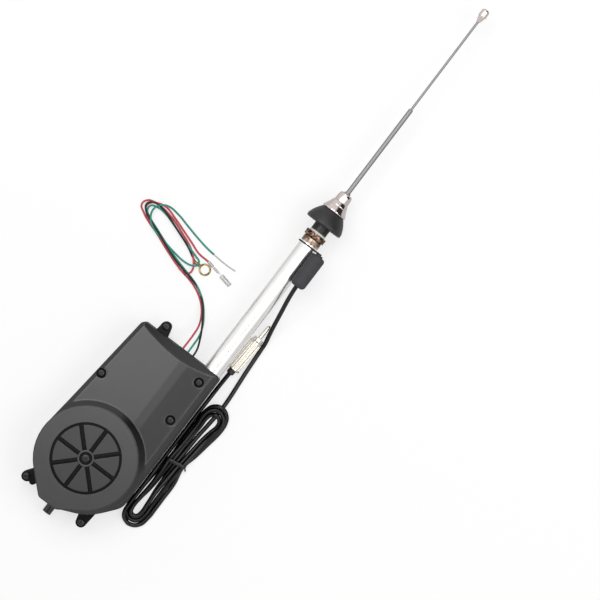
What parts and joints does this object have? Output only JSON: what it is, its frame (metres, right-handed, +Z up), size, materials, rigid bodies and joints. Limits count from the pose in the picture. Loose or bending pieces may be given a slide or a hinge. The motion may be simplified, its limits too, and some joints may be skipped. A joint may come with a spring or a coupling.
{
  "type": "car mast aerial",
  "caption": "Electric telescopic car aerial with a motor housing, a base tube, a wing clamp, a sliding mast, a coax lead with its plug, and a wire harness.",
  "frame": {"origin": "on the mast's axis at the underside of the wing pad, where the outer skin of the car's wing lies", "axes": "+Y along the mast to its tip, +Z up out of the housing's face as the aerial lies on its back, +X to the side that the coax lies on"},
  "size_m": [0.1811, 0.5883, 0.0483],
  "materials": {
    "case_plastic": "moulded, satin",
    "black_plastic": "moulded",
    "white_plastic": "moulded nylon",
    "black_steel": "blackened",
    "bright_tube": "polished",
    "chrome_plate": "plated",
    "brass": "turned",
    "copper": "stamped, copper flashed",
    "steel": "ground",
    "rubber": "moulded",
    "boot_rubber": "moulded",
    "coax_sheath": "extruded",
    "wire_red": "extruded",
    "wire_green": "extruded",
    "wire_black": "extruded",
    "nickel": "plated",
    "board_laminate": "laminate",
    "magnet_ferrite": "sintered"
  },
  "bodies": {
    "housing": {"front_case": "case_plastic", "rear_case": "case_plastic", "drum_cover": "case_plastic", "case_screws": "black_steel", "cover_screw": "black_steel", "wire_grommets": "black_plastic", "tube_clamp": "black_plastic", "control_board": "board_laminate", "relays": "black_plastic", "reel_pin": "steel", "drive_cord": "white_plastic", "motor_can": "steel", "motor_end_cap": "black_plastic", "motor_magnets": "magnet_ferrite", "brushes": "black_plastic", "base_tube": "bright_tube", "lower_insulator": "white_plastic", "fixed_tube": "steel", "upper_insulator": "white_plastic", "threaded_neck": "brass", "claw_washer": "copper", "plain_washer": "chrome_plate", "ribbed_collar": "black_plastic", "wing_pad": "rubber", "chrome_cone": "chrome_plate", "top_nut": "chrome_plate", "coax_socket": "steel", "coax_boot": "boot_rubber", "coax_lead": "coax_sheath", "coax_hank": "coax_sheath", "coax_tail": "coax_sheath", "cable_tie": "black_plastic", "plug_barrel": "nickel", "plug_insulator": "white_plastic", "plug_pin": "nickel", "plug_ferrule": "black_plastic", "wire_red_lead": "wire_red", "wire_green_lead": "wire_green", "wire_black_lead": "wire_black", "wire_bundle": "wire_red", "wire_loop": "wire_red", "wire_red_tail": "wire_red", "wire_green_tail": "wire_green", "green_bare_end": "nickel", "ring_terminal": "brass", "red_terminal": "nickel"},
    "reel": {"cord_reel": "white_plastic", "wound_cord": "white_plastic", "worm_wheel": "white_plastic"},
    "armature": {"motor_shaft": "steel", "worm": "brass", "armature_core": "steel", "armature_windings": "copper", "commutator": "copper"},
    "section_1": {"mast_section_1": "bright_tube"},
    "section_2": {"mast_section_2": "bright_tube"},
    "section_3": {"mast_section_3": "bright_tube"},
    "tip": {"tip_rod": "bright_tube", "tip_button": "chrome_plate"}
  },
  "joints": [
    {"name": "section_1_slide", "type": "slide", "parent": "housing", "child": "section_1", "axis": [0, 1, 0], "range_m": [0, 0.166]},
    {"name": "section_2_slide", "type": "slide", "parent": "section_1", "child": "section_2", "axis": [0, 1, 0], "range_m": [0, 0.1685]},
    {"name": "section_3_slide", "type": "slide", "parent": "section_2", "child": "section_3", "axis": [0, 1, 0], "range_m": [-0.0905, 0.0675]},
    {"name": "tip_slide", "type": "slide", "parent": "section_3", "child": "tip", "axis": [0, 1, 0], "range_m": [-0.0965, 0.0715], "deforming": ["drive_cord"]},
    {"name": "reel_turn", "type": "hinge", "parent": "housing", "child": "reel", "pos_m": [-0.0421, -0.2868, 0], "axis": [0, 0, 1], "range_deg": [-254.45, 188.51]},
    {"name": "armature_turn", "type": "hinge", "parent": "housing", "child": "armature", "pos_m": [-0.05835, -0.2, -0.0064], "axis": [0, 1, 0], "range_deg": [-6362, 4714]}
  ],
  "couplings": [
    {"joint": "section_3_slide", "follows": "reel_turn", "m_per_rad": 0.020375},
    {"joint": "tip_slide", "follows": "reel_turn", "m_per_rad": 0.021725},
    {"joint": "armature_turn", "follows": "reel_turn", "ratio": 25}
  ]
}
